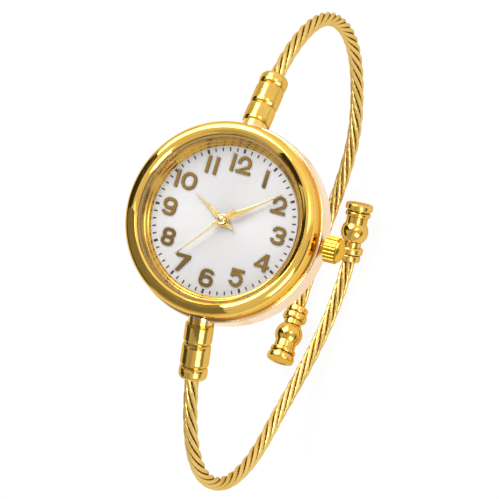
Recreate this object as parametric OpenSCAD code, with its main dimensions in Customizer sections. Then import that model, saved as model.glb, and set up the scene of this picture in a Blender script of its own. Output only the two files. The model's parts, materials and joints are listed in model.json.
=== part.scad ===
// Bangle watch: a round quartz watch whose band is two arms of wire cable.
// +Z leaves the dial, +Y points to 12 o'clock, +X to the crown.
// The origin is the centre of the case back's flat outer face. Millimetres.

/* [Case] */
// Width of the dial that shows inside the dial ring
dial_view_d = 20.6; // [18.6:0.2:28]
// Width of the sloping dial ring, from the dial's edge to the bezel's lip
dial_ring_w = 1.2; // [1:0.1:2]
// Wall of the case neck that the bezel is pressed over
neck_wall = 0.7; // [0.5:0.1:1]
// How much wider the case band is than its neck
shoulder_w = 1.55; // [0.7:0.05:2]
// How far the bezel stands back from the case band's side
bezel_set_back = 0.4; // [0:0.05:0.6]
// Radius of the bezel's round section
bezel_round_r = 1.05; // [1:0.05:1.3]
// Height of the bezel's crest above the crystal
bezel_crest = 0.45; // [0.3:0.05:0.7]
// Ledge inside the case that the dial lies on
dial_ledge = 0.6; // [0.4:0.1:0.8]
// Rounding of the case band's lower edge
band_round_r = 1.1; // [0.5:0.1:1.6]
// Rounding of the shoulder's edge, outside the bezel
shoulder_round_r = 0.3; // [0.1:0.05:0.5]
// Thickness of the case back
back_t = 0.9; // [0.7:0.1:1.4]
// Height of the space for the movement, from the case back to the dial
movement_space = 4.3; // [4.3:0.1:6]
// Thickness of the case back's gasket
back_gasket_t = 0.3; // [0.2:0.05:0.5]
// Lip by which the case back is wider than its gasket's outer edge
back_lip = 0.1; // [0.05:0.05:0.3]

/* [Dial and hands] */
// Thickness of the dial
dial_t = 0.4; // [0.3:0.1:0.6]
// Space between the dial and the crystal
glass_gap = 1.5; // [1.5:0.1:2.5]
// Thickness of the crystal
crystal_t = 0.8; // [0.6:0.1:1.5]
// Wall of the ring that holds the crystal
crystal_seal_w = 0.3; // [0.2:0.05:0.5]
// Clockwise turn of the dial against the case
dial_turn = 1.4; // [-2:0.1:2]
// Radius of the ring on which the numerals' centres lie
numeral_ring_r = 8; // [6.5:0.1:8.4]
// Height of a numeral
numeral_h = 2.45; // [2:0.05:2.6]
// Width of a figure
figure_w = 2.1; // [1.6:0.05:2.2]
// Width of a nought
nought_w = 2.2; // [1.7:0.05:2.3]
// Width of a figure's stroke
stroke_w = 0.46; // [0.3:0.02:0.5]
// Height of the numerals above the dial
numeral_t = 0.22; // [0.1:0.02:0.3]
// Length of the hour hand from its axis
hour_hand_l = 5.54; // [4:0.1:6.5]
// Length of the minute hand from its axis
minute_hand_l = 9.03; // [7:0.1:9.6]
// Length of the second hand from its axis
second_hand_l = 7.84; // [6:0.1:9.6]
// Thickness of a hand
hand_t = 0.14; // [0.1:0.02:0.2]
// Clockwise angle of the hour hand from 12 o'clock
hour_hand_angle = 299.9; // [0:0.1:360]
// Clockwise angle of the minute hand from 12 o'clock
minute_hand_angle = 54.5; // [0:0.1:360]
// Clockwise angle of the second hand from 12 o'clock
second_hand_angle = 220.5; // [0:0.1:360]

/* [Crown] */
// Width of the crown
crown_d = 3.7; // [3:0.1:4.4]
// Length of the crown's fluted part
crown_flute_l = 1.6; // [1.5:0.1:2.5]
// Length of the crown's domed end
crown_dome_l = 0.9; // [0.4:0.1:1.2]
// Number of flutes
crown_flutes = 22; // [14:1:30]
// Gap between the case band and the crown
crown_gap = 0.55; // [0.5:0.05:1.5]
// Height of the crown's axis above the case back's outer face
stem_z = 3.4; // [3.3:0.1:3.6]
// Radius of the winding stem
stem_r = 0.42; // [0.35:0.01:0.5]
// Wall of the crown tube
tube_wall = 0.35; // [0.25:0.05:0.45]
// Travel of the crown when it is pulled out to set the time
crown_travel = 0.8; // [0.5:0.1:0.9]

/* [Bangle] */
// Inner width of the bangle along the 12 to 6 o'clock line
wrist_w = 65.8; // [58:0.2:72]
// Depth of the bangle from the case back to the inside of its far side
wrist_depth = 45.6; // [38:0.2:52]
// Height at which the oval's centre line would cross the watch's axis
oval_crest_z = 5.8; // [4.8:0.1:6.4]
// Squareness of the oval, where 2 is an ellipse
oval_power = 2.15; // [2:0.05:2.4]
// Width of the cable
cable_d = 2; // [1.6:0.1:2.2]
// Number of outer strands in the cable
strands = 6; // [5:1:7]
// Length of cable in which a strand turns once round
strand_lay = 16; // [10:0.2:18]
// Width of a sleeve
sleeve_d = 3.95; // [3.4:0.05:4.2]
// Length of a sleeve
sleeve_l = 7.9; // [6.5:0.1:9.5]
// Angle by which a sleeve leans back from the dial's plane
sleeve_tilt = 22; // [18:0.5:26]
// Height of the lug that a sleeve is soldered to
lug_h = 0.1; // [0.1:0.1:1]
// Depth of the cable's end inside a sleeve
sleeve_bore_l = 4.5; // [3:0.1:5.5]
// Distance by which the 12 o'clock arm's cable passes the bangle's middle at the back
upper_overlap = 5; // [2:0.1:6]
// Distance by which the 6 o'clock arm's cable passes the bangle's middle at the back
lower_overlap = 3.6; // [2:0.1:6]
// Sideways place of an arm's end at the back
arm_offset = 2.8; // [2.4:0.05:4]
// Length of a finial
finial_l = 8.8; // [8:0.1:10]
// Width of a finial's cap
finial_d = 4.1; // [3.8:0.05:4.4]
// Angle by which a finial rises from the back towards its tip
finial_rise = 14; // [5:1:20]
// Depth of the cable's end inside a finial
finial_bore_l = 2.2; // [1.5:0.1:2.6]

/* [Movement] */
// Wall of the plastic ring that holds the movement
holder_w = 1.18; // [0.9:0.02:1.3]
// Thickness of the main plate
plate_t = 0.7; // [0.6:0.05:0.8]
// Thickness of the train bridge
bridge_t = 0.4; // [0.3:0.05:0.5]
// Thickness of a train wheel
wheel_t = 0.15; // [0.12:0.01:0.18]
// Width of the battery
battery_d = 5.8; // [5.2:0.1:5.9]
// Thickness of the battery
battery_t = 2.15; // [1.8:0.05:2.3]
// Length of the coil's winding
coil_l = 8; // [6:0.1:8.4]
// Width of the coil's winding
coil_d = 1.9; // [1.6:0.1:2]

/* [Hidden] */
$fn = 96;

// Clearances
fit = 0.03;      // running fit of a shaft in its hole, on the radius
seat = 0.02;     // gap of a pressed or cemented seat, on the radius
air = 0.1;       // gap between pieces that pass each other
cut = 0.01;      // how far a cutting shape runs past the face it cuts

// Radii of the case, from the dial outwards
dial_view_r = dial_view_d / 2;
lip_r = dial_view_r + dial_ring_w;
neck_r = lip_r + neck_wall;
case_r = neck_r + shoulder_w;
bezel_r = case_r - bezel_set_back;
dial_r = lip_r - air;
bore_r = lip_r - dial_ledge;
back_gasket_w = 0.5;
back_gasket_in_r = bore_r + 0.1;
back_r = back_gasket_in_r + back_gasket_w + back_lip;

// Heights of the case, from the case back's outer face
ledge_z = back_t + back_gasket_t;
dial_z = back_t + movement_space;
dial_top = dial_z + dial_t;
crystal_z = dial_top + glass_gap;
crystal_top = crystal_z + crystal_t;
crest_z = crystal_top + bezel_crest;
shoulder_z = dial_z - 0.2;
neck_top = crystal_z - 0.2;
band_low = 0.35;

// Hands, from the dial upwards
hand_pipe_l = 0.12;
hour_hand_z = dial_top + 0.35;
minute_hand_z = hour_hand_z + hand_t + 2 * hand_pipe_l;
second_hand_z = minute_hand_z + hand_t + 2 * hand_pipe_l;
second_arbor_r = 0.13;
minute_pipe_r = 0.36;
hour_pipe_r = 0.6;
pair_shift = 0.15;  // by which a numeral of two figures stands to the right of its place

// Movement, from the dial downwards
movement_r = bore_r - seat - holder_w;
holder_lip = 0.6;  // by which the holder lies over the main plate's edge
plate_top = dial_z - 0.8;
plate_z = plate_top - plate_t;
minute_level = plate_top + 0.14;
hour_level = minute_level + wheel_t + 0.12;
centre_level = plate_z - 0.12 - wheel_t;
third_level = centre_level - 0.2 - wheel_t;
seconds_level = third_level - 0.12 - wheel_t;
intermediate_level = seconds_level - 0.2 - wheel_t;
bridge_top = intermediate_level - 0.1;
bridge_z = bridge_top - bridge_t;
setting_recess_z = plate_top - 0.3;
overhang = 0.05;  // by which a pinion stands past the face of the wheel that it meshes with
arbor_r = 0.14;
pivot_r = 0.09;
pivot_l = 0.3;

// Wheel train: teeth of each pinion and of the wheel that it drives
rotor_teeth = 8;
intermediate_teeth = 48;
intermediate_pinion_teeth = 8;
seconds_teeth = 40;
seconds_pinion_teeth = 8;
third_teeth = 60;
third_pinion_teeth = 8;
centre_teeth = 64;
cannon_teeth = 12;
minute_teeth = 36;
minute_pinion_teeth = 10;
hour_teeth = 40;
setting_teeth = 16;

// Tooth modules and the axis distances that follow from them
rotor_module = 0.09;
seconds_module = 0.13;
third_module = 0.09;
cannon_module = 0.1;
rotor_distance = (rotor_teeth + intermediate_teeth) * rotor_module / 2;
intermediate_distance = (intermediate_pinion_teeth + seconds_teeth) * seconds_module / 2;
third_distance = (seconds_pinion_teeth + third_teeth) * third_module / 2;
centre_module = 2 * third_distance / (third_pinion_teeth + centre_teeth);
minute_distance = (cannon_teeth + minute_teeth) * cannon_module / 2;
hour_module = 2 * minute_distance / (minute_pinion_teeth + hour_teeth);
setting_distance = (minute_teeth + setting_teeth) * cannon_module / 2;

// Directions from one axis to the next, and the axes' places
third_dir = 215;
intermediate_dir = 100;
rotor_dir = 170;
minute_dir = 20;
setting_dir = -15;
third_at = third_distance * heading(third_dir);
intermediate_at = intermediate_distance * heading(intermediate_dir);
rotor_at = intermediate_at + rotor_distance * heading(rotor_dir);
minute_at = minute_distance * heading(minute_dir);
setting_at = minute_at + setting_distance * heading(setting_dir);
minute_phase = meshed(cannon_teeth, minute_dir, minute_teeth, minute_dir);

// Places of the electric parts
battery_out = 6.35;
battery_at = battery_out * heading(-58);
battery_z = plate_top - battery_t;
coil_inset = 2.45;
coil_x = coil_inset - movement_r;
stator_t = 0.3;
stator_z = intermediate_level + wheel_t + 0.08;
core_t = 0.3;
core_w = 0.6;
core_end_l = 1.1;
core_end_w = 1.5;
coil_z = stator_z - core_t / 2;
magnet_r = 0.6;
stator_hole_r = magnet_r + 0.2;
board_t = 0.3;
board_z = plate_z - 1.05;
strap_t = 0.15;
board_low = [2, 3.3];
strap_l = 4.4;
quartz_r = 0.6;
quartz_l = 3.4;
quartz_at = (movement_r - 1.78) * heading(45);
chip_h = 0.6;
chip_at = (movement_r - 2.35) * heading(52);
screw_r = 0.35;
screw_head_r = 0.62;
screw_head_t = 0.2;
pillar_r = 1;
screws_at = [[0.9, 6.6], [4.6, 2.6], [-1.9, -6.9], [-4.2, 6.6]];

// Crown and stem, along +X
pinion_x = setting_at[0] + 1.15;
stem_in_x = pinion_x - 0.5;
pinion_l = 1.2;
pinion_r = 0.85;
groove_x = pinion_x + pinion_l + 0.55;
groove_w = 0.36;
groove_r = stem_r - 0.16;
lever_arm = 2;
lever_t = 0.2;
lever_w = 0.6;
lever_z = plate_top + 0.05;
lever_pin_r = 0.12;
lever_hub_r = 0.55;
lever_room = 0.8;  // free space on each side of the lever for its swing
lever_pivot_r = 0.18;
lever_at = [groove_x + crown_travel / 2, lever_arm];
tube_r = stem_r + 0.1 + tube_wall;
tube_in_x = bore_r + 0.2;
crown_x = case_r + crown_gap;
crown_l = crown_flute_l + crown_dome_l;
recess_l = crown_flute_l - 0.3;
recess_r = tube_r + 0.24;
tube_end_x = crown_x + recess_l - 0.15;
stem_end_x = crown_x + crown_l - 0.6;

// Oval of the bangle's centre line
cable_r = cable_d / 2;
oval_a = wrist_w / 2 + cable_r;
oval_b = (oval_crest_z + wrist_depth + cable_r) / 2;
oval_z = oval_crest_z - oval_b;
sleeve_r = sleeve_d / 2;
sleeve_end_y = case_r + (lug_h + sleeve_l) * cos(sleeve_tilt);
sleeve_end_z = oval_z + oval_b * pow(1 - pow(sleeve_end_y / oval_a, oval_power), 1 / oval_power);
sleeve_dir = [0, cos(sleeve_tilt), -sin(sleeve_tilt)];
lug_end = [0, sleeve_end_y, sleeve_end_z] - sleeve_l * sleeve_dir;
cable_start_a = acos(pow(sleeve_end_y / oval_a, oval_power / 2));
offset_start_a = -47;
offset_span_a = 49;
arm_end_dir = [0, -cos(finial_rise), sin(finial_rise)];

function heading(a) = [cos(a), sin(a)];
function unit(v) = v / norm(v);
function smooth(u) = u * u * (3 - 2 * u);

// Angle of the oval at which an arm's cable ends
function end_angle(overlap) = acos(pow(overlap / oval_a, oval_power / 2)) - 180;

// Point of an arm's centre line at angle a of the oval, where 90 is the front
function arm_point(a) = [
    -arm_offset * smooth(min(1, max(0, (offset_start_a - a) / offset_span_a))),
    oval_a * sign(cos(a)) * pow(abs(cos(a)), 2 / oval_power),
    oval_z + oval_b * sign(sin(a)) * pow(abs(sin(a)), 2 / oval_power)
];

// Tooth angle of a wheel of zb teeth that meshes with a wheel of za teeth at tooth angle pa.
// dir is the direction from the first axis to the second.
function meshed(za, pa, zb, dir) = dir + 180 - za / zb * (pa - dir) + 180 / zb;

// Flat gear outline with narrow straight-sided teeth, one of them at angle phase.
// Each tooth's corners are a radius and an angle in pitches.
module gear_outline(teeth, tooth_module, phase) {
    pitch_r = teeth * tooth_module / 2;
    root_r = pitch_r - 1.15 * tooth_module;
    tip_r = pitch_r + 0.85 * tooth_module;
    pitch_a = 360 / teeth;
    polygon([
        for (i = [0 : teeth - 1])
            for (corner = [[root_r, -0.24], [tip_r, -0.09], [tip_r, 0.09], [root_r, 0.24]])
                corner[0] * heading(phase + pitch_a * (i + corner[1]))
    ]);
}

// Gear between two heights
module gear(teeth, tooth_module, phase, z_low, z_high) {
    translate([0, 0, z_low]) linear_extrude(z_high - z_low) gear_outline(teeth, tooth_module, phase);
}

// Ring about the watch's axis between two radii and two heights
module ring(r_in, r_out, z_low, z_high) {
    rotate_extrude() translate([r_in, z_low]) square([r_out - r_in, z_high - z_low]);
}

// Disc about the watch's axis between two heights
module disc(r, z_low, z_high) {
    translate([0, 0, z_low]) cylinder(r = r, h = z_high - z_low);
}

// Cylinder along +X at the stem's height
module x_rod(r, x_low, x_high) {
    translate([x_low, 0, stem_z]) rotate([0, 90, 0]) cylinder(r = r, h = x_high - x_low);
}

// Lays a shape drawn along +Z from the origin along direction v from point p
module along(p, v) {
    translate(p) rotate([0, acos(v[2] / norm(v)), atan2(v[1], v[0])]) children();
}

// The same shape on the 6 o'clock side
module other_side() {
    rotate([0, 0, 180]) children();
}

// Case

module case_section() {
    round_low = band_low + band_round_r;
    round_high = shoulder_z - shoulder_round_r;
    difference() {
        union() {
            translate([0, round_low]) square([case_r, round_high - round_low]);
            translate([0, band_low]) square([case_r - band_round_r, band_round_r + cut]);
            translate([case_r - band_round_r, round_low]) circle(r = band_round_r);
            translate([0, round_high - cut]) square([case_r - shoulder_round_r, shoulder_round_r + cut]);
            translate([case_r - shoulder_round_r, round_high]) circle(r = shoulder_round_r);
            translate([0, shoulder_z - cut]) square([neck_r, neck_top - shoulder_z + cut]);
        }
        square([bore_r, neck_top + 1]);
        translate([0, dial_z]) square([lip_r, neck_top]);
        translate([0, -cut]) square([back_r + seat, ledge_z + cut]);
    }
}

module case_middle() {
    color("khaki") difference() {
        union() {
            rotate_extrude() case_section();
            for (side = [0, 180]) rotate([0, 0, side]) difference() {
                along(lug_end - 2 * sleeve_dir, sleeve_dir) cylinder(r = sleeve_r - 0.25, h = 2);
                disc(case_r - 1, -5, crest_z);
                disc(bezel_r + air, shoulder_z - seat, crest_z);
            }
        }
        x_rod(tube_r + seat, bore_r - 1, case_r + 1);
    }
}

// Half round ring pressed over the case's neck
module bezel() {
    round_x = bezel_r - bezel_round_r;
    high = crest_z - bezel_round_r;
    low = shoulder_z + 0.75 * bezel_round_r;
    color("gold") rotate_extrude() difference() {
        union() {
            translate([round_x, high]) circle(r = bezel_round_r);
            translate([round_x, low]) circle(r = bezel_round_r);
            translate([lip_r, low]) square([bezel_r - lip_r, high - low]);
            translate([lip_r, shoulder_z]) square([round_x - lip_r, high - shoulder_z]);
        }
        translate([0, shoulder_z - 2]) square([bezel_r + 1, 2]);
        translate([0, shoulder_z - 1]) square([neck_r + seat, neck_top - shoulder_z + 1]);
        square([lip_r, crest_z + 1]);
    }
}

// Snap back with a raised rim edge and an opening notch
module case_back() {
    chamfer = 0.25;
    notch_w = 2.4;
    color("silver") difference() {
        rotate_extrude() polygon([
            [0, 0], [back_r - 2, 0], [back_r - chamfer, 0.2], [back_r, 0.2 + chamfer],
            [back_r, back_t], [0, back_t]
        ]);
        translate([-notch_w / 2, -back_r - 1, -cut]) cube([notch_w, 1.5, 0.3]);
    }
}

module case_back_gasket() {
    color("dimgray") ring(back_gasket_in_r, back_gasket_in_r + back_gasket_w, back_t, ledge_z);
}

module crystal() {
    chamfer = 0.15;
    r = lip_r - seat - crystal_seal_w - seat;
    color("lightcyan", 0.3) rotate_extrude() polygon([
        [0, crystal_z], [r, crystal_z], [r, crystal_top - chamfer], [r - chamfer, crystal_top],
        [0, crystal_top]
    ]);
}

module crystal_gasket() {
    r = lip_r - seat;
    color("ivory") ring(r - crystal_seal_w, r, crystal_z, crystal_top - 0.1);
}

// Sloping ring with two steps, from the dial up to the crystal
module dial_ring() {
    r_out = lip_r - seat;
    h = crystal_z - dial_top;
    w = r_out - 0.25 - dial_view_r;
    color("goldenrod") rotate_extrude() polygon([
        [dial_view_r, dial_top], [r_out, dial_top], [r_out, crystal_z], [r_out - 0.25, crystal_z],
        [dial_view_r + 0.75 * w, dial_top + 0.62 * h], [dial_view_r + 0.6 * w, dial_top + 0.58 * h],
        [dial_view_r + 0.4 * w, dial_top + 0.3 * h], [dial_view_r + 0.22 * w, dial_top + 0.26 * h]
    ]);
}

// Dial

module dial() {
    color("whitesmoke") ring(hour_pipe_r + 0.2, dial_r, dial_z, dial_top);
}

// Ring sector of stroke width about the origin, from angle a to angle b
module stroke_arc(r, a, b) {
    steps = 6;
    reach = 2 * r;
    intersection() {
        difference() {
            circle(r = r);
            circle(r = r - stroke_w);
        }
        polygon(concat([[0, 0]], [for (i = [0 : steps]) reach * heading(a + (b - a) * i / steps)]));
    }
}

module stroke_bar(x, y, w, h) {
    translate([x, y]) square([w, h]);
}

// Half of a rounded bowl of outer radius r that is w wide, opening downwards: its left end lies at angle a
module bowl_half(r, w, a) {
    side = w / 2 - r;
    translate([side, 0]) stroke_arc(r, 0, 90);
    translate([-side, 0]) stroke_arc(r, 90, a);
    stroke_bar(-side - cut, r - stroke_w, 2 * (side + cut), stroke_w);
}

// Closed bowl of outer radius r that is w wide
module bowl_ring(r, w) {
    for (k = [0, 1]) rotate(180 * k) bowl_half(r, w, 180);
}

// Figures, each numeral_h high and centred on the origin
module figure(n) {
    w = figure_w;
    h = numeral_h;
    s = stroke_w;
    r = figure_w / 2;
    bowl = (h + s) / 4;
    if (n == 0) {
        nought_r = nought_w / 2;
        for (k = [0, 1]) rotate(180 * k) {
            translate([0, h / 2 - nought_r]) stroke_arc(nought_r, 0, 180);
            stroke_bar(nought_r - s, -h / 2 + nought_r, s, h - 2 * nought_r);
        }
    }
    if (n == 1) stroke_bar(-s / 2, -h / 2, s, h);
    if (n == 2) {
        top = [-0.04, h / 2 - r * 0.93];
        fall = -35;
        translate(top) stroke_arc(r * 0.93, fall - 4, 196);
        stroke_bar(-r, -h / 2, w, s);
        polygon([
            top + r * 0.93 * heading(fall), top + (r * 0.93 - s) * heading(fall),
            [-r, -h / 2 + s * 0.6], [-r, -h / 2], [-r + s * 1.4, -h / 2 + s]
        ]);
    }
    if (n == 3) {
        for (side = [1, -1]) scale([1, side]) translate([0, h / 2 - bowl]) {
            bowl_half(bowl, w * 0.92, 185);
            translate([r * 0.92 - bowl, 0]) stroke_arc(bowl, -90, 0);
        }
        stroke_bar(-0.3, -s / 2, r * 0.92 - bowl + 0.3 + cut, s);
    }
    if (n == 4) {
        stem_x = r - s * 1.75;
        bar_y = -h / 2 + s * 1.1;
        stroke_bar(stem_x, -h / 2, s, h);
        stroke_bar(-r, bar_y, w, s * 0.9);
        polygon([
            [stem_x, h / 2], [stem_x + s * 0.5, h / 2], [stem_x + s * 0.5, h / 2 - s],
            [-r + s * 0.95, bar_y + s * 0.9], [-r, bar_y + s * 0.9], [-r, bar_y + s * 0.5]
        ]);
    }
    if (n == 5) {
        bowl_r = r * 0.94;
        bowl_y = -h / 2 + bowl_r;
        stroke_bar(-r + 0.2, h / 2 - s, w - 0.3, s);
        stroke_bar(-r + 0.2, bowl_y + 0.3, s * 0.9, h / 2 - bowl_y - 0.3);
        translate([0, bowl_y]) stroke_arc(bowl_r, -160, 138);
    }
    if (n == 6 || n == 9) rotate(n == 6 ? 180 : 0) {
        ring_r = (h + s * 0.9) / 3.5;
        translate([0, h / 2 - ring_r]) bowl_ring(ring_r, w * 0.95);
        stroke_bar(w * 0.475 - s, -h / 2 + ring_r, s, h - 2 * ring_r);
        translate([0, -h / 2 + ring_r]) scale([1, -1]) bowl_half(ring_r, w * 0.95, 160);
    }
    if (n == 7) {
        stroke_bar(-r, h / 2 - s, w, s);
        polygon([
            [r, h / 2], [r - s * 1.15, h / 2], [-r + 0.35, -h / 2], [-r + 0.4 + s, -h / 2], [r, h / 2 - s]
        ]);
    }
    if (n == 8) {
        for (side = [1, -1]) translate([0, side * (h / 2 - bowl)]) bowl_ring(bowl, w * 0.88);
    }
}

// A numeral of one or two figures, centred on the origin
module numeral(n) {
    units = n % 10;
    units_w = units == 0 ? nought_w : units == 1 ? stroke_w : figure_w;
    gap = units == 1 ? 0.7 : 0.38;
    if (n < 10) figure(n);
    if (n >= 10) {
        translate([-(gap + units_w) / 2, 0]) figure(1);
        translate([(gap + stroke_w) / 2, 0]) figure(units);
    }
}

module dial_numerals() {
    color("darkgoldenrod") rotate([0, 0, -dial_turn]) for (n = [1 : 12]) {
        at = numeral_ring_r * heading(90 - 30 * n) + [n < 10 ? 0 : pair_shift, 0];
        translate([at[0], at[1], dial_top]) linear_extrude(numeral_t) numeral(n);
    }
}

// Outline of a leaf hand along +X: length l, width w near its root, tail length and hub radius
module hand_outline(l, w, tail, hub_r) {
    belly = 0.24 * l;
    polygon([
        [-tail, 0], [-tail * 0.55, -w * 0.36], [0, -w * 0.22], [belly, -w / 2],
        [l * 0.55, -w * 0.2], [l, -0.03], [l, 0.03], [l * 0.55, w * 0.2],
        [belly, w / 2], [0, w * 0.22], [-tail * 0.55, w * 0.36]
    ]);
    circle(r = hub_r);
}

module hand(l, w, tail, hub_r, hole_r, z, angle) {
    translate([0, 0, z]) rotate([0, 0, 90 - angle]) difference() {
        union() {
            linear_extrude(hand_t) hand_outline(l, w, tail, hub_r);
            translate([0, 0, -hand_pipe_l]) cylinder(r = hub_r * 0.85, h = hand_pipe_l + hand_t);
        }
        translate([0, 0, -hand_pipe_l - cut]) cylinder(r = hole_r, h = hand_pipe_l + hand_t + 2 * cut);
    }
}

module hour_hand() {
    color("gold") hand(hour_hand_l, 0.85, 2.1, 0.9, hour_pipe_r + seat, hour_hand_z, hour_hand_angle);
}

module minute_hand() {
    color("gold") hand(minute_hand_l, 0.8, 1.9, 0.8, minute_pipe_r + seat, minute_hand_z, minute_hand_angle);
}

// Thin hand with a counterweight tail and a closed hub
module second_hand() {
    hub_r = 0.62;
    tail = 2.3;
    color("gold") translate([0, 0, second_hand_z]) rotate([0, 0, 90 - second_hand_angle]) difference() {
        union() {
            linear_extrude(hand_t) polygon([
                [-tail, -0.22], [-0.8, -0.12], [second_hand_l, -0.06], [second_hand_l, 0.06],
                [-0.8, 0.12], [-tail, 0.22]
            ]);
            translate([0, 0, -hand_pipe_l]) cylinder(r = hub_r * 0.7, h = hand_pipe_l + hand_t);
            rotate_extrude() polygon([
                [0, 0], [hub_r, 0], [hub_r, 0.12], [hub_r - 0.06, 0.17], [hub_r - 0.14, 0.14],
                [hub_r - 0.2, 0.19], [hub_r - 0.36, 0.24], [0, 0.26]
            ]);
        }
        translate([0, 0, -hand_pipe_l - cut])
            cylinder(r = second_arbor_r + seat, h = hand_pipe_l + hand_t + cut);
    }
}

// Crown

module crown() {
    crown_r = crown_d / 2;
    flute_r = 0.2;
    dome_r = (pow(crown_r, 2) + pow(crown_dome_l, 2)) / (2 * crown_dome_l);
    dome_in_r = crown_r - flute_r - 0.05;
    color("gold") difference() {
        union() {
            translate([crown_x, 0, stem_z]) rotate([0, 90, 0]) linear_extrude(crown_flute_l) difference() {
                circle(r = crown_r);
                for (i = [0 : crown_flutes - 1])
                    translate((crown_r + 0.05) * heading(360 / crown_flutes * i)) circle(r = flute_r);
            }
            translate([crown_x, 0, stem_z]) rotate([0, 90, 0]) rotate_extrude() difference() {
                intersection() {
                    translate([0, crown_l - dome_r]) circle(r = dome_r);
                    square([dome_in_r, crown_l]);
                }
                square([dome_in_r, crown_flute_l - 0.2]);
            }
        }
        x_rod(recess_r, crown_x - cut, crown_x + recess_l);
        x_rod(stem_r + seat, crown_x, stem_end_x);
    }
}

module crown_gasket() {
    x_low = crown_x + 0.1;
    color("dimgray") difference() {
        x_rod(recess_r - seat, x_low, x_low + 0.4);
        x_rod(tube_r + fit, x_low - cut, x_low + 0.4 + cut);
    }
}

module crown_tube() {
    color("goldenrod") difference() {
        x_rod(tube_r, tube_in_x, tube_end_x);
        x_rod(tube_r - tube_wall, tube_in_x - cut, tube_end_x + cut);
    }
}

module winding_stem() {
    color("lightsteelblue") difference() {
        x_rod(stem_r, stem_in_x, stem_end_x);
        difference() {
            x_rod(stem_r + 1, groove_x - groove_w / 2, groove_x + groove_w / 2);
            x_rod(groove_r, groove_x - groove_w, groove_x + groove_w);
        }
    }
}

// Bangle

// Three barrelled rings with grooves between them, over the cable's end
module sleeve() {
    rings = [[0, 0.375], [0.375, 0.79], [0.79, 1]];
    groove = 0.24;
    color("gold") difference() {
        along(lug_end, sleeve_dir) rotate_extrude() for (part = rings) {
            low = part[0] * sleeve_l;
            high = part[1] * sleeve_l;
            polygon([
                [0, low], [sleeve_r - groove, low],
                [sleeve_r - 0.06, low + groove], [sleeve_r, low + 2.2 * groove],
                [sleeve_r, high - 2.2 * groove], [sleeve_r - 0.06, high - groove],
                [sleeve_r - groove, high], [0, high]
            ]);
        }
        along(lug_end, sleeve_dir) translate([0, 0, sleeve_l - sleeve_bore_l])
            cylinder(r = cable_r + seat, h = sleeve_bore_l + cut);
        disc(case_r + seat, 0, crest_z);
    }
}

// Radius of the cable's section at angle d from the middle of a strand
function strand_edge(d) =
    let (ring_r = cable_r * 0.68, wire_r = cable_r - ring_r, side = ring_r * sin(d))
    ring_r * cos(d) + sqrt(max(0.02, pow(wire_r, 2) - pow(side, 2)));

// One cable as a single swept solid: the strands' outline turns steadily along the arm
module cable(overlap) {
    step_a = 2.2;
    corners = 4 * strands;
    span_a = cable_start_a - end_angle(overlap);
    count = ceil(span_a / step_a);
    oval_pts = [for (i = [0 : count]) arm_point(cable_start_a - span_a * i / count)];
    start_l = sleeve_bore_l - seat;
    end_l = finial_bore_l - seat;
    pts = concat(
        [for (k = [2 : -1 : 1]) oval_pts[0] - k / 2 * start_l * sleeve_dir],
        oval_pts,
        [for (k = [1 : 2]) oval_pts[count] + k / 2 * end_l * arm_end_dir]
    );
    last = len(pts) - 1;
    lengths = [for (i = 0, s = 0; i <= last; i = i + 1, s = s + norm(pts[min(i, last)] - pts[i - 1])) s];
    verts = [
        for (i = [0 : last])
            let (
                ahead = unit(pts[min(i + 1, last)] - pts[max(i - 1, 0)]),
                u = unit([1, 0, 0] - ahead[0] * ahead),
                v = cross(ahead, u)
            )
            for (k = [0 : corners - 1])
                let (
                    a = 360 * k / corners,
                    r = strand_edge((k % 4 - 1.5) * 90 / strands),
                    turn = a - 360 * lengths[i] / strand_lay
                )
                pts[i] + r * (cos(turn) * u + sin(turn) * v)
    ];
    sides = [
        for (i = [0 : last - 1])
            for (k = [0 : corners - 1])
                let (n = (k + 1) % corners, a = i * corners, b = a + corners)
                each [[a + k, b + k, b + n], [a + k, b + n, a + n]]
    ];
    ends = [
        [for (k = [0 : corners - 1]) k],
        [for (k = [corners - 1 : -1 : 0]) last * corners + k]
    ];
    color("palegoldenrod") polyhedron(verts, concat(sides, ends), convexity = 10);
}

// Turned end of an arm: two beads, neck, round bulb, ring and a cap with a hollowed face.
// The lengths that follow the bulb are counted from the cap's face.
module finial(overlap) {
    cap_r = finial_d / 2;
    cap_l = 1.05;
    neck_r = 1.35;
    low_bead_r = cap_r - 0.45;
    bead_r = cap_r - 0.25;
    bead_l = 1.1;
    bulb_r = cap_r;
    bulb_at = 4.5;
    ring_out_r = cap_r - 0.15;
    ring_l = 0.8;
    ring_at = finial_l - cap_l - 0.15 - ring_l;
    color("gold") along(arm_point(end_angle(overlap)), arm_end_dir) difference() {
        rotate_extrude() intersection() {
            union() {
                square([neck_r, finial_l - 0.5]);
                barrel(low_bead_r, 0, bead_l);
                barrel(bead_r, bead_l, 2 * bead_l);
                translate([0, bulb_at]) circle(r = bulb_r);
                translate([0, bulb_at]) square([ring_out_r - 0.3, finial_l - 0.5 - bulb_at]);
                barrel(ring_out_r, ring_at, ring_at + ring_l);
                barrel(cap_r, finial_l - cap_l, finial_l);
            }
            square([cap_r, finial_l]);
        }
        translate([0, 0, -cut]) cylinder(r = cable_r + seat, h = finial_bore_l + cut);
        translate([0, 0, finial_l - 0.12]) cylinder(r1 = cap_r - 0.6, r2 = cap_r - 0.45, h = 0.12 + cut);
    }
}

// Half section of a turned ring with rounded edges, between two heights
module barrel(r, low, high) {
    round_r = min(0.3, (high - low) * 0.45);
    translate([0, low]) square([r - round_r, high - low]);
    translate([0, low + round_r]) square([r, high - low - 2 * round_r]);
    for (z = [low + round_r, high - round_r]) translate([r - round_r, z]) circle(r = round_r);
}

// Movement

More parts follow.
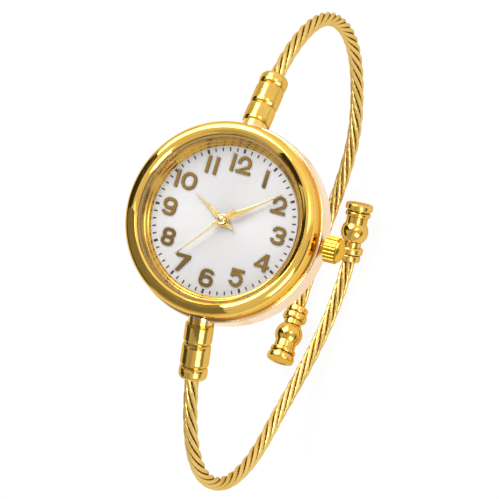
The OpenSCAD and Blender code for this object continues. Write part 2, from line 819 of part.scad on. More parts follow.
// Plastic holder between the case and the movement
module movement_ring() {
    color("dimgray") difference() {
        rotate_extrude() difference() {
            translate([movement_r - holder_lip, back_t]) square([holder_w + holder_lip, movement_space]);
            translate([0, back_t - cut]) square([movement_r + seat, plate_top - back_t + cut]);
        }
        x_rod(stem_r + 0.3, movement_r - 1, bore_r + 1);
        translate(battery_at) disc(battery_d / 2 + air, back_t - 1, plate_top + cut);
        for (at = screws_at) translate(at) disc(pillar_r + air, back_t - 1, plate_top - cut);
        translate([lever_at[0] - lever_room, -lever_room, plate_top - cut])
            cube([2 * lever_room, lever_arm + lever_room, dial_z]);
        translate(lever_at) disc(lever_hub_r + air, plate_top - cut, dial_z + 1);
    }
}

module main_plate() {
    color("gainsboro") difference() {
        union() {
            disc(movement_r, plate_z, plate_top);
            for (at = screws_at) translate(at) disc(pillar_r, bridge_top, plate_z + cut);
            translate(lever_at) disc(lever_pivot_r, plate_top - cut, lever_z + lever_t);
        }
        disc(minute_pipe_r + fit, plate_z - 1, plate_top + 1);
        for (at = [third_at, intermediate_at, rotor_at, minute_at, setting_at])
            translate(at) disc(pivot_r + fit, plate_z - 1, plate_top + 1);
        translate(setting_at) disc(setting_teeth * cannon_module / 2 + 0.2, setting_recess_z, plate_top + 1);
        translate(battery_at) disc(battery_d / 2 + air, plate_z - 1, plate_top + 1);
        translate([pinion_x - 0.2, -pinion_r - air, plate_z - 1])
            cube([groove_x + crown_travel + 0.6 - pinion_x, 2 * (pinion_r + air), plate_t + 2]);
        x_rod(stem_r + fit, stem_in_x - 0.2, movement_r + 1);
        for (at = screws_at) translate(at) disc(screw_r + seat, bridge_top - 1, plate_z - air);
    }
}

// Plate under the train, held by four screws to the main plate's pillars
module train_bridge() {
    color("silver") translate([0, 0, bridge_z]) linear_extrude(bridge_t) difference() {
        hull() {
            for (at = screws_at) translate(at) circle(r = pillar_r + air, $fn = 32);
        }
        for (at = [[0, 0], third_at, intermediate_at, rotor_at]) translate(at) circle(r = pivot_r + fit);
        for (at = screws_at) translate(at) circle(r = screw_r + air);
        translate(battery_at) circle(r = battery_d / 2 + air);
    }
}

module bridge_screws() {
    slot_w = 0.16;
    color("lightsteelblue") for (at = screws_at) translate(at) difference() {
        union() {
            disc(screw_r, bridge_z - cut, bridge_top + 0.7);
            disc(screw_head_r, bridge_z - screw_head_t, bridge_z);
        }
        translate([-1, -slot_w / 2, bridge_z - screw_head_t - cut]) cube([2, slot_w, screw_head_t / 2]);
    }
}

// Arbor with a pivot at each end, between two heights
module arbor(z_low, z_high) {
    disc(arbor_r, z_low + 0.04, z_high - 0.04);
    disc(pivot_r, z_low - pivot_l, z_high + pivot_l);
}

module rotor() {
    magnet_t = stator_t + 0.22;
    color("dimgray") translate(rotor_at) {
        arbor(bridge_top, plate_z);
        gear(rotor_teeth, rotor_module, rotor_dir + 180,
            intermediate_level - overhang, intermediate_level + wheel_t + overhang);
        disc(magnet_r, stator_z - seat, stator_z - seat + magnet_t);
    }
}

module intermediate_wheel() {
    rotor_side = rotor_dir + 180;
    phase = meshed(rotor_teeth, rotor_side, intermediate_teeth, rotor_side);
    color("goldenrod") translate(intermediate_at) {
        arbor(bridge_top, plate_z);
        gear(intermediate_teeth, rotor_module, phase, intermediate_level, intermediate_level + wheel_t);
        gear(intermediate_pinion_teeth, seconds_module, intermediate_dir + 180,
            seconds_level - overhang, seconds_level + wheel_t + overhang);
    }
}

// Wheel, pinion and the long arbor that carries the second hand
module seconds_wheel() {
    from_side = intermediate_dir + 180;
    phase = meshed(intermediate_pinion_teeth, from_side, seconds_teeth, from_side);
    color("goldenrod") {
        disc(pivot_r, bridge_top - pivot_l, bridge_top + 0.1);
        disc(second_arbor_r, bridge_top + 0.04, second_hand_z + hand_t - seat);
        gear(seconds_teeth, seconds_module, phase, seconds_level, seconds_level + wheel_t);
        gear(seconds_pinion_teeth, third_module, third_dir,
            seconds_level + wheel_t - cut, third_level + wheel_t + overhang);
    }
}

module third_wheel() {
    phase = meshed(seconds_pinion_teeth, third_dir, third_teeth, third_dir);
    color("goldenrod") translate(third_at) {
        arbor(bridge_top, plate_z);
        gear(third_teeth, third_module, phase, third_level, third_level + wheel_t);
        gear(third_pinion_teeth, centre_module, third_dir + 180,
            third_level + wheel_t - cut, centre_level + wheel_t + overhang);
    }
}

// Centre wheel with the pipe that carries the cannon pinion and the minute hand
module centre_wheel() {
    from_side = third_dir + 180;
    phase = meshed(third_pinion_teeth, from_side, centre_teeth, from_side);
    color("goldenrod") difference() {
        union() {
            disc(minute_pipe_r, centre_level, minute_hand_z + hand_t);
            gear(centre_teeth, centre_module, phase, centre_level, centre_level + wheel_t);
            gear(cannon_teeth, cannon_module, minute_dir,
                minute_level - overhang, minute_level + wheel_t + overhang);
        }
        disc(second_arbor_r + fit, centre_level - 1, minute_hand_z + 1);
    }
}

module minute_wheel() {
    color("goldenrod") translate(minute_at) {
        disc(pivot_r, plate_top - pivot_l, hour_level + wheel_t + seat);
        gear(minute_teeth, cannon_module, minute_phase, minute_level, minute_level + wheel_t);
        gear(minute_pinion_teeth, hour_module, minute_dir + 180,
            minute_level + wheel_t - cut, hour_level + wheel_t + seat);
    }
}

module hour_wheel() {
    from_side = minute_dir + 180;
    phase = meshed(minute_pinion_teeth, from_side, hour_teeth, from_side);
    color("goldenrod") difference() {
        union() {
            disc(hour_pipe_r, hour_level, hour_hand_z + hand_t);
            gear(hour_teeth, hour_module, phase, hour_level, hour_level + wheel_t);
        }
        disc(minute_pipe_r + fit, hour_level - 1, hour_hand_z + 1);
    }
}

module setting_wheel() {
    phase = meshed(minute_teeth, minute_phase, setting_teeth, setting_dir);
    color("lightsteelblue") translate(setting_at) {
        disc(pivot_r, setting_recess_z - pivot_l, minute_level + wheel_t);
        gear(setting_teeth, cannon_module, phase, setting_recess_z + overhang, minute_level + wheel_t);
    }
}

// Clutch that turns with the stem
module sliding_pinion() {
    tooth_l = 0.4;
    flange_t = 0.3;
    color("lightsteelblue") difference() {
        translate([pinion_x, 0, stem_z]) rotate([0, 90, 0]) union() {
            linear_extrude(tooth_l) gear_outline(14, 0.11, 0);
            cylinder(r = pinion_r - 0.25, h = pinion_l);
            translate([0, 0, pinion_l - flange_t]) cylinder(r = pinion_r, h = flange_t);
        }
        x_rod(stem_r + fit, pinion_x - 1, pinion_x + pinion_l + 1);
    }
}

// Lever whose pin lies in the stem's groove and moves with it
module setting_lever() {
    mid = asin(crown_travel / 2 / lever_arm);
    color("lightsteelblue") translate(lever_at) rotate([0, 0, -mid]) {
        difference() {
            union() {
                translate([-lever_w / 2, -lever_arm - lever_pin_r, lever_z])
                    cube([lever_w, lever_arm, lever_t]);
                disc(lever_hub_r, lever_z, lever_z + lever_t);
            }
            disc(lever_pivot_r + fit, lever_z - 1, lever_z + 1);
        }
        translate([0, -lever_arm, 0]) disc(lever_pin_r, stem_z + groove_r + 0.04, lever_z + cut);
    }
}

// Electric parts

module stator() {
    leg_w = 1;
    pole_r = 1.5;
    pole_w = 2;
    leg_x = rotor_at[0] - pole_r + 0.15;
    end_y = coil_l / 2 + core_end_l;
    color("lightsteelblue") translate([0, 0, stator_z]) linear_extrude(stator_t) difference() {
        union() {
            translate(rotor_at) circle(r = pole_r);
            for (side = [1, -1]) translate([coil_x - core_end_w / 2, side > 0 ? end_y - core_end_l : -end_y])
                square([leg_x - coil_x + core_end_w / 2, core_end_l]);
            translate([leg_x - leg_w / 2, -end_y]) square([leg_w, 2 * end_y]);
            translate([leg_x, rotor_at[1] - pole_w / 2]) square([rotor_at[0] - leg_x, pole_w]);
        }
        translate(rotor_at) circle(r = stator_hole_r);
        for (at = screws_at) translate(at) circle(r = pillar_r + air);
    }
}

module coil_core() {
    end_y = coil_l / 2 + core_end_l;
    color("silver") translate([coil_x, 0, stator_z - core_t]) linear_extrude(core_t) {
        translate([-core_w / 2, -end_y]) square([core_w, 2 * end_y]);
        for (side = [0, 180]) rotate(side) translate([-core_end_w / 2, coil_l / 2 + seat])
            square([core_end_w, core_end_l - seat]);
    }
}

module coil_winding() {
    color("chocolate") translate([coil_x, -coil_l / 2, coil_z]) rotate([-90, 0, 0]) difference() {
        cylinder(r = coil_d / 2, h = coil_l);
        translate([-core_w / 2 - seat, -core_t / 2 - seat, -cut])
            cube([core_w + 2 * seat, core_t + 2 * seat, coil_l + 2 * cut]);
    }
}

module circuit_board() {
    color("seagreen") translate([0, 0, board_z]) linear_extrude(board_t) difference() {
        intersection() {
            circle(r = movement_r - 0.2);
            translate(board_low) square(movement_r);
        }
        for (at = screws_at) translate(at) circle(r = pillar_r + 0.15);
    }
}

module quartz_can() {
    color("silver") translate([quartz_at[0], quartz_at[1], board_z - quartz_r - seat]) rotate([0, 90, -45])
        translate([0, 0, -quartz_l / 2]) cylinder(r = quartz_r, h = quartz_l);
}

module control_chip() {
    size = [1.8, 1.6, chip_h];
    color("black") translate([chip_at[0], chip_at[1], board_z + board_t]) rotate([0, 0, -45])
        translate([-size[0] / 2, -size[1] / 2, 0]) cube(size);
}

module battery() {
    rim_z = plate_top - 0.35;
    color("silver") translate(battery_at) {
        disc(battery_d / 2, battery_z, rim_z);
        disc(battery_d / 2 - 0.5, rim_z - cut, plate_top);
    }
}

// Contact under the battery, with an arm below the bridge
module battery_strap() {
    color("goldenrod") {
        translate([battery_at[0], battery_at[1], bridge_z - strap_t]) linear_extrude(strap_t) {
            circle(r = 1.6);
            rotate(122) translate([0, -0.5]) square([strap_l, 1]);
        }
        translate(battery_at) disc(1.3, bridge_z - cut, battery_z);
    }
}

case_middle();
bezel();
case_back();
case_back_gasket();
crystal();
crystal_gasket();
dial_ring();
dial();
dial_numerals();
hour_hand();
minute_hand();
second_hand();
crown();
crown_gasket();
crown_tube();
winding_stem();
sleeve();  // upper_sleeve
other_side() sleeve();  // lower_sleeve
cable(upper_overlap);  // upper_cable
other_side() cable(lower_overlap);  // lower_cable
finial(upper_overlap);  // upper_finial
other_side() finial(lower_overlap);  // lower_finial
movement_ring();
main_plate();
train_bridge();
bridge_screws();
rotor();
intermediate_wheel();
seconds_wheel();
third_wheel();
centre_wheel();
minute_wheel();
hour_wheel();
setting_wheel();
sliding_pinion();
setting_lever();
stator();
coil_core();
coil_winding();
circuit_board();
quartz_can();
control_chip();
battery();
battery_strap();
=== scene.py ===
"""Looks of the bangle watch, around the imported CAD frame.

The scene is in metres, in the row's frame. Sizes and places written here are in millimetres, apart
from those of the lamps and the camera's clipping range, which are in metres.
"""

import json
import math

import bpy
import numpy as np
from mathutils import Matrix, Vector


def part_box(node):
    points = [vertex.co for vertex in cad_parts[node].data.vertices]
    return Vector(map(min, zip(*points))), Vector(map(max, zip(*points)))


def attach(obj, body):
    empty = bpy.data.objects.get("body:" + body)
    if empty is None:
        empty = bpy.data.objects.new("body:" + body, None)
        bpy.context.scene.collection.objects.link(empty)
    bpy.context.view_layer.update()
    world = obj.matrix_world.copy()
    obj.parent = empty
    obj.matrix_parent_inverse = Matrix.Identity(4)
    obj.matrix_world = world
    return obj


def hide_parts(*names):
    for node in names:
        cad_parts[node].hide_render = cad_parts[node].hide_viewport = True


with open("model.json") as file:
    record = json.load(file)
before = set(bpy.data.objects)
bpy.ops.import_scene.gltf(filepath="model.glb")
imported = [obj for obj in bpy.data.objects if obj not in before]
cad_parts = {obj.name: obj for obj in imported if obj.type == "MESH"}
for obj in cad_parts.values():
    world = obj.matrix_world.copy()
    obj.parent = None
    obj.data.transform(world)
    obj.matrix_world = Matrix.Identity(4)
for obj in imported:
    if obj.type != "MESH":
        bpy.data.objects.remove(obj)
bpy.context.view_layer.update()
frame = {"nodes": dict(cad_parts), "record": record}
nodes = frame["nodes"]
MM = 0.001

# Camera, from a pinhole fit to the dial's minute marks and the cable's centre line

IMAGE_PX = 499
FOCAL_PX = 3307.78
SENSOR_MM = 36
CAMERA_MM = (143.59, -39.653, 424.643)
CAMERA_BACK = (0.3138, -0.083, 0.9459)
CAMERA_UP = (-0.2289, 0.9602, 0.1602)
CLIP_RANGE = (0.01, 10)


def make_camera():
    back = Vector(CAMERA_BACK).normalized()
    right = Vector(CAMERA_UP).cross(back).normalized()
    up = back.cross(right)
    data = bpy.data.cameras.new("camera")
    data.sensor_width = SENSOR_MM
    data.lens = FOCAL_PX / IMAGE_PX * SENSOR_MM
    data.clip_start, data.clip_end = CLIP_RANGE
    camera = bpy.data.objects.new("camera", data)
    turn = Matrix((right, up, back)).transposed().to_4x4()
    camera.matrix_world = Matrix.Translation(Vector(CAMERA_MM) * MM) @ turn
    bpy.context.scene.collection.objects.link(camera)
    bpy.context.scene.camera = camera


make_camera()

# Helpers for shader nodes

# The part of a noise's range that is spread out: for broad patches, and for fine grain
PATCHY = (0.35, 0.65)
GRAINY = (0.3, 0.7)

# Sockets of a colour mix
MIX_FACTOR, MIX_A, MIX_B, MIX_RESULT = 0, 6, 7, 2


class Nodes:
    """A node tree with short calls for what the materials need."""

    def __init__(self, owner):
        owner.use_nodes = True
        self.tree = owner.node_tree
        self.tree.nodes.clear()

    def add(self, kind, inputs=None, **settings):
        node = self.tree.nodes.new(kind)
        for name, value in settings.items():
            setattr(node, name, value)
        for name, value in (inputs or {}).items():
            self.put(node, name, value)
        return node

    def put(self, node, name, value):
        socket = node.inputs[name]
        if isinstance(value, bpy.types.NodeSocket):
            self.tree.links.new(value, socket)
        else:
            socket.default_value = value

    def math(self, operation, *values):
        node = self.add("ShaderNodeMath", operation=operation)
        for i, value in enumerate(values):
            self.put(node, i, value)
        return node.outputs[0]

    def step(self, value, low, high):
        """0 below low, 1 above high, smooth between."""
        inputs = {"Value": value, "From Min": low, "From Max": high}
        return self.add("ShaderNodeMapRange", inputs, interpolation_type="SMOOTHSTEP").outputs["Result"]

    def spread(self, value, low, high, to_low=0.0, to_high=1.0):
        inputs = {"Value": value, "From Min": low, "From Max": high, "To Min": to_low, "To Max": to_high}
        return self.add("ShaderNodeMapRange", inputs).outputs["Result"]

    def parts(self, vector):
        """The x, y and z of a vector."""
        return self.add("ShaderNodeSeparateXYZ", {0: vector}).outputs

    def place_mm(self):
        """The point of the surface in millimetres, in the frame of the piece."""
        place = self.add("ShaderNodeTexCoord").outputs["Object"]
        return self.add("ShaderNodeVectorMath", {0: place, "Scale": 1 / MM}, operation="SCALE").outputs[0]

    def noise(self, place, scale, detail, stretch=None):
        if stretch:
            place = self.add("ShaderNodeMapping", {"Vector": place, "Scale": stretch}).outputs[0]
        return self.add("ShaderNodeTexNoise", {"Vector": place, "Scale": scale, "Detail": detail}).outputs[0]

    def mix(self, factor, a, b, blend="MIX"):
        node = self.add("ShaderNodeMix", data_type="RGBA", blend_type=blend)
        for index, value in ((MIX_FACTOR, factor), (MIX_A, a), (MIX_B, b)):
            self.put(node, index, (*value, 1) if isinstance(value, tuple) else value)
        return node.outputs[MIX_RESULT]

    def grey(self, level):
        return self.add("ShaderNodeCombineColor", {0: level, 1: level, 2: level}).outputs[0]

    def bump(self, height, distance_mm, strength, under=None):
        """A normal bent by a height, on top of the normal under it."""
        inputs = {"Height": height, "Distance": distance_mm * MM, "Strength": strength}
        if under:
            inputs["Normal"] = under
        return self.add("ShaderNodeBump", inputs).outputs[0]

    def mix_shader(self, share, first, second):
        """The second shader by this share, and the first by the rest."""
        return self.add("ShaderNodeMixShader", {0: share, 1: first.outputs[0], 2: second.outputs[0]})

    def show(self, shader):
        self.add("ShaderNodeOutputMaterial", {"Surface": shader.outputs[0]})

    def show_principled(self, inputs):
        self.show(self.add("ShaderNodeBsdfPrincipled", inputs))


# Materials

CASE_R = 13.75
GOLD_BRIGHT = (0.95, 0.60, 0.13)
GOLD_DEEP = (0.92, 0.55, 0.10)
GOLD_EDGE = (0.80, 0.66, 0.42)
WHITE = (1.0, 1.0, 1.0)


def painted_groove_shade(n, reach_mm, darkest):
    """Painted shade: a grey, from ambient occlusion, that darkens grooves and where pieces meet."""
    open_share = n.add("ShaderNodeAmbientOcclusion", {"Distance": reach_mm * MM}, samples=8).outputs["AO"]
    return n.grey(n.spread(open_share, low=0.25, high=0.9, to_low=darkest))


def gold(name, bright, deep, rough=(0.06, 0.16), groove=0.45, groove_mm=0.6, edge=WHITE, polished_from=None):
    """Plated metal: slow colour drift, fine wiping marks, a slightly uneven polish and painted shade in
    grooves.

    edge tints what is seen at a grazing angle. Further than polished_from from the watch's axis,
    along the 12 to 6 o'clock line, the colour is that of polished gold.
    """
    material = bpy.data.materials.new(name)
    n = Nodes(material)
    place = n.place_mm()
    drift = n.noise(place, scale=0.25, detail=3)
    wipes = n.noise(place, scale=6.0, detail=4, stretch=(1, 0.25, 1))
    colour = n.mix(n.spread(drift, *PATCHY), bright, deep)
    if polished_from:
        polished = n.math("GREATER_THAN", n.math("ABSOLUTE", n.parts(place)[1]), polished_from)
        colour = n.mix(polished, colour, GOLD_BRIGHT)
    waves = n.bump(n.noise(place, scale=0.7, detail=1), distance_mm=0.004, strength=0.6)
    n.show_principled({
        # The colour, darkened by painted shade in grooves and where pieces meet
        "Base Color": n.mix(1.0, colour, painted_groove_shade(n, groove_mm, groove), "MULTIPLY"),
        "Specular Tint": (*edge, 1),
        "Metallic": 1.0,
        "Roughness": n.spread(wipes, *GRAINY, *rough),
        "Normal": n.bump(wipes, distance_mm=0.0006, strength=0.25, under=waves),
    })
    return material


def plain(name, colour, second, roughness, metallic=0.0):
    """Moulded, printed or machined surface with a fine grain and a little colour variation."""
    material = bpy.data.materials.new(name)
    n = Nodes(material)
    grain = n.noise(n.place_mm(), scale=4.0, detail=4)
    n.show_principled({
        "Base Color": n.mix(n.spread(grain, *PATCHY), colour, second),
        "Metallic": metallic,
        "Roughness": n.spread(grain, *GRAINY, roughness * 0.85, roughness * 1.15),
        "Normal": n.bump(grain, distance_mm=0.003, strength=0.4),
    })
    return material


def numeral(name, top, shaded_wall):
    """Applied figure: gold top, and painted shade on its rounded edge and wall."""
    material = bpy.data.materials.new(name)
    n = Nodes(material)
    wipes = n.noise(n.place_mm(), scale=5.0, detail=4)
    up = n.parts(n.add("ShaderNodeTexCoord").outputs["Normal"])[2]
    # Painted shade: where the surface turns away from straight up, it takes the darker copy of the gold
    colour = n.mix(n.step(up, low=0.94, high=0.9995), shaded_wall, top)
    n.show_principled({
        "Base Color": n.mix(n.spread(wipes, *GRAINY, to_high=0.25), colour, shaded_wall),
        "Metallic": 0.6,
        "Specular IOR Level": 0.3,
        "Roughness": n.spread(wipes, *GRAINY, 0.14, 0.24),
        "Normal": n.bump(wipes, distance_mm=0.0008, strength=0.3),
    })
    return material


def sunray(name):
    """Silver dial with fine brushing that runs from the centre to the rim."""
    material = bpy.data.materials.new(name)
    n = Nodes(material)
    x, y, _ = n.parts(n.place_mm())
    angle = n.math("ARCTAN2", y, x)

    def noise_round(times, detail):
        inputs = {"W": n.math("MULTIPLY", angle, times), "Scale": 1.0, "Detail": detail}
        return n.add("ShaderNodeTexNoise", inputs, noise_dimensions="1D").outputs[0]

    rays = noise_round(60.0, detail=6.0)
    broad = noise_round(1.1, detail=1.0)
    colour = n.mix(n.spread(rays, *GRAINY), (0.55, 0.545, 0.55), (0.615, 0.61, 0.615))
    n.show_principled({
        "Base Color": n.mix(n.spread(broad, *PATCHY), colour, (0.58, 0.57, 0.57)),
        "Metallic": 0.08,
        "Roughness": 0.40,
        "Anisotropic": 0.75,
        "Tangent": n.add("ShaderNodeTangent", direction_type="RADIAL", axis="Z").outputs[0],
        "Normal": n.bump(rays, distance_mm=0.0012, strength=0.35),
    })
    return material


def clear_glass(name):
    """Clean mineral glass: nearly invisible, with a faint reflection and a trace of dust."""
    material = bpy.data.materials.new(name)
    n = Nodes(material)
    dust = n.noise(n.place_mm(), scale=3.0, detail=5)
    n.show_principled({
        "Base Color": (0.30, 0.31, 0.32, 1),
        "Roughness": n.spread(dust, *GRAINY, 0.01, 0.04),
        "IOR": 1.5,
        "Alpha": n.spread(dust, low=0.45, high=0.8, to_low=0.02, to_high=0.035),
    })
    return material


POLISHED = {"bright": GOLD_BRIGHT, "deep": GOLD_DEEP, "edge": GOLD_EDGE}
# The groove entries set how dark the painted shade in grooves gets, and how far it reaches in millimetres
METALS = {
    "polished_gold": POLISHED,
    "satin_gold": {
        "bright": (0.94, 0.68, 0.40), "deep": (0.91, 0.63, 0.34), "rough": (0.14, 0.24),
        "groove": 0.85, "polished_from": CASE_R + 0.02,
    },
    "cable_gold": {
        "bright": (0.85, 0.60, 0.205), "deep": (0.79, 0.54, 0.165), "rough": (0.27, 0.37),
        "groove": 0.4, "groove_mm": 0.35, "edge": GOLD_EDGE,
    },
    "steel": {"bright": (0.62, 0.61, 0.59), "deep": (0.56, 0.55, 0.54), "rough": (0.18, 0.34), "groove": 0.5},
    "train_brass": {"bright": (0.72, 0.52, 0.20), "deep": (0.64, 0.45, 0.16), "rough": (0.18, 0.32)},
    "plate_nickel": {"bright": (0.58, 0.57, 0.54), "deep": (0.52, 0.51, 0.48), "rough": (0.2, 0.36)},
    "copper_wire": {"bright": (0.50, 0.17, 0.07), "deep": (0.42, 0.13, 0.05), "rough": (0.2, 0.3)},
    "bezel_gold": {**POLISHED, "rough": (0.05, 0.12), "groove": 0.8},
    "crown_gold": {
        "bright": (0.87, 0.50, 0.07), "deep": (0.81, 0.45, 0.05),
        "groove": 0.3, "groove_mm": 0.5, "edge": GOLD_EDGE,
    },
    "ring_gold": {
        "bright": (0.81, 0.48, 0.08), "deep": (0.75, 0.42, 0.06), "rough": (0.16, 0.26), "groove": 0.5,
    },
    "hand_gold": {
        "bright": (1.0, 0.76, 0.32), "deep": (0.97, 0.71, 0.26), "rough": (0.12, 0.22),
        "groove": 0.5, "groove_mm": 0.2,
    },
    "fitting_gold": {
        "bright": (0.82, 0.52, 0.12), "deep": (0.74, 0.45, 0.09), "rough": (0.09, 0.18),
        "groove": 0.35, "edge": GOLD_EDGE,
    },
}

MATERIALS = {name: gold(name, **look) for name, look in METALS.items()}
MATERIALS.update({
    # Numerals: the gold of their tops, then the painted shade of their edges and walls
    "numeral_gold": numeral("numeral_gold", (0.30, 0.168, 0.016), (0.045, 0.024, 0.004)),
    "glass": clear_glass("glass"),
    "silver_dial": sunray("silver_dial"),
    "seal_rubber": plain("seal_rubber", (0.02, 0.02, 0.02), (0.035, 0.035, 0.035), 0.6),
    "clear_plastic": plain("clear_plastic", (0.26, 0.16, 0.04), (0.31, 0.19, 0.05), 0.3),
    "holder_plastic": plain("holder_plastic", (0.03, 0.03, 0.032), (0.045, 0.045, 0.047), 0.5),
    "magnet": plain("magnet", (0.05, 0.05, 0.053), (0.07, 0.07, 0.075), 0.55, metallic=0.6),
    "circuit_green": plain("circuit_green", (0.01, 0.08, 0.035), (0.015, 0.10, 0.045), 0.4),
    "chip_black": plain("chip_black", (0.008, 0.008, 0.009), (0.014, 0.014, 0.016), 0.4),
    "black_ink": plain("black_ink", (0.004, 0.004, 0.005), (0.008, 0.008, 0.009), 0.45),
})

# Pieces whose finish differs a little from others of their slot
FINISHES = {
    "bezel": "bezel_gold",
    "crown": "crown_gold",
    "dial_ring": "ring_gold",
    "hour_hand": "hand_gold",
    "minute_hand": "hand_gold",
    "second_hand": "hand_gold",
    "upper_sleeve": "fitting_gold",
    "lower_sleeve": "fitting_gold",
    "upper_finial": "fitting_gold",
    "lower_finial": "fitting_gold",
}


def dress(obj, material):
    obj.data.materials.clear()
    obj.data.materials.append(material)


for row in frame["record"]["subparts"]:
    dress(nodes[row["node"]], MATERIALS[FINISHES.get(row["node"], row["material_slot"])])

# Edges of the CAD pieces that show

WELD_MM = 0.0005
BEVEL_SEGMENTS = 3
SHARP_EDGE = math.radians(35)


def soften(node, width_mm):
    """Rounds the sharp edges of a CAD node, which keeps its own mesh."""
    weld = nodes[node].modifiers.new("weld", "WELD")
    weld.merge_threshold = WELD_MM * MM
    bevel = nodes[node].modifiers.new("bevel", "BEVEL")
    bevel.width = width_mm * MM
    bevel.segments = BEVEL_SEGMENTS
    bevel.limit_method = "ANGLE"
    bevel.angle_limit = SHARP_EDGE


soften("dial_numerals", 0.13)
soften("hour_hand", 0.05)
soften("minute_hand", 0.05)
soften("second_hand", 0.03)


def mesh_object(name, verts, faces, material, smooth=False):
    """A new object from points in metres."""
    mesh = bpy.data.meshes.new(name)
    mesh.from_pydata(verts, [], faces)
    mesh.polygons.foreach_set("use_smooth", [smooth] * len(mesh.polygons))
    mesh.update()
    obj = bpy.data.objects.new(name, mesh)
    bpy.context.scene.collection.objects.link(obj)
    dress(obj, material)
    return obj


# Printed minute marks: length and width, and heights above the dial

DIAL_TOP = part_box("dial")[1].z / MM
DIAL_TURN = 1.4
MARK_MID_R = 9.84
HOUR_MARK = (0.6, 0.34)
MINUTE_MARK = (0.52, 0.19)
INK_LOW = 0.001
INK_HIGH = 0.012
BOX_CORNERS = ((-1, -1), (1, -1), (1, 1), (-1, 1))
BOX_FACES = ((3, 2, 1, 0), (4, 5, 6, 7), (0, 1, 5, 4), (1, 2, 6, 5), (2, 3, 7, 6), (3, 0, 4, 7))


def minute_track():
    """Sixty printed minute marks, every fifth longer and wider."""
    verts, faces = [], []
    for minute in range(60):
        long, wide = HOUR_MARK if minute % 5 == 0 else MINUTE_MARK
        angle = math.radians(90 - 6 * minute - DIAL_TURN)
        out = Vector((math.cos(angle), math.sin(angle), 0))
        side = Vector((-out.y, out.x, 0))
        faces += [[len(verts) + k for k in face] for face in BOX_FACES]
        for z in (DIAL_TOP + INK_LOW, DIAL_TOP + INK_HIGH):
            for along, across in BOX_CORNERS:
                point = out * (MARK_MID_R + along * long / 2) + side * (across * wide / 2)
                verts.append((point.x * MM, point.y * MM, z * MM))
    marks = mesh_object("minute_track", verts, faces, MATERIALS["black_ink"])
    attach(marks, "case")


minute_track()

# Cable arms: six strands of fine wires around a core, on the path that part.scad has too

OVAL_A = 33.9
OVAL_B = 26.2
OVAL_Z = -20.4
OVAL_POWER = 2.15
ARM_OFFSET = 2.8
OFFSET_START = -47
OFFSET_SPAN = 49
UPPER_OVERLAP = 5.0
LOWER_OVERLAP = 3.6
SLEEVE_TILT = math.radians(22)
FINIAL_RISE = math.radians(14)
LUG_H = 0.1
SLEEVE_L = 7.9
SLEEVE_BORE_L = 4.5
FINIAL_BORE_L = 2.2
SEAT = 0.02
PATH_POINTS = 900
STEP_MM = 0.22

# A strand turns once round the cable in its lay, and so does a wire round its strand
STRANDS = 6
STRAND_LAY = 16.0
STRAND_RING_R = 0.68
STRAND_R = 0.325
CORE_R = 0.44
CORE_CORNERS = 12
WIRES = 6
WIRE_LAY = 5.0
WIRE_CORNERS = 5

# Grooves between a strand's wires: depth as a share of the strand's radius, and how sharply they fall
VALLEY_DEPTH = 0.06
VALLEY_POWER = 0.7


def arm_point(degrees):
    """A point of the oval. Towards the back of the wrist it moves aside, so that the arms pass each other."""
    ramp = min(1, max(0, (OFFSET_START - degrees) / OFFSET_SPAN))
    c, s = math.cos(math.radians(degrees)), math.sin(math.radians(degrees))
    return np.array([
        -ARM_OFFSET * ramp * ramp * (3 - 2 * ramp),
        OVAL_A * math.copysign(abs(c) ** (2 / OVAL_POWER), c),
        OVAL_Z + OVAL_B * math.copysign(abs(s) ** (2 / OVAL_POWER), s),
    ])


def oval_degrees(y):
    """Where the oval's upper half has this y."""
    return math.degrees(math.acos((y / OVAL_A) ** (OVAL_POWER / 2)))


def arm_path(overlap):
    """Points a step apart on the arm's centre line, from inside the sleeve to inside the finial."""
    start = oval_degrees(CASE_R + (LUG_H + SLEEVE_L) * math.cos(SLEEVE_TILT))
    end = oval_degrees(overlap) - 180
    middle = [arm_point(degrees) for degrees in np.linspace(start, end, PATH_POINTS)]
    sleeve_way = np.array([0, math.cos(SLEEVE_TILT), -math.sin(SLEEVE_TILT)])
    finial_way = np.array([0, -math.cos(FINIAL_RISE), math.sin(FINIAL_RISE)])
    first = middle[0] - sleeve_way * (SLEEVE_BORE_L - SEAT)
    last = middle[-1] + finial_way * (FINIAL_BORE_L - SEAT)
    points = np.array([first, *middle, last])
    length = np.concatenate([[0], np.cumsum(np.linalg.norm(np.diff(points, axis=0), axis=1))])
    even = np.linspace(0, length[-1], int(length[-1] / STEP_MM))
    return np.stack([np.interp(even, length, points[:, k]) for k in range(3)], 1), even


def tube(sections):
    """Vertices and faces of a closed tube through sections of equal point count."""
    rings, corners = sections.shape[:2]
    faces = []
    for i in range(rings - 1):
        here, beyond = i * corners, (i + 1) * corners
        for k in range(corners):
            after = (k + 1) % corners
            faces.append((here + k, here + after, beyond + after, beyond + k))
    faces.append(tuple(range(corners - 1, -1, -1)))
    faces.append(tuple((rings - 1) * corners + k for k in range(corners)))
    return sections.reshape(-1, 3), faces


def round_angles(count):
    return np.arange(count) * 2 * math.pi / count


def ring_points(angles, first, second):
    """Unit circle points: one row for each step of the path, one column for each angle."""
    return np.cos(angles)[..., None] * first[:, None, :] + np.sin(angles)[..., None] * second[:, None, :]


def unit(vectors):
    return vectors / np.linalg.norm(vectors, axis=1)[:, None]


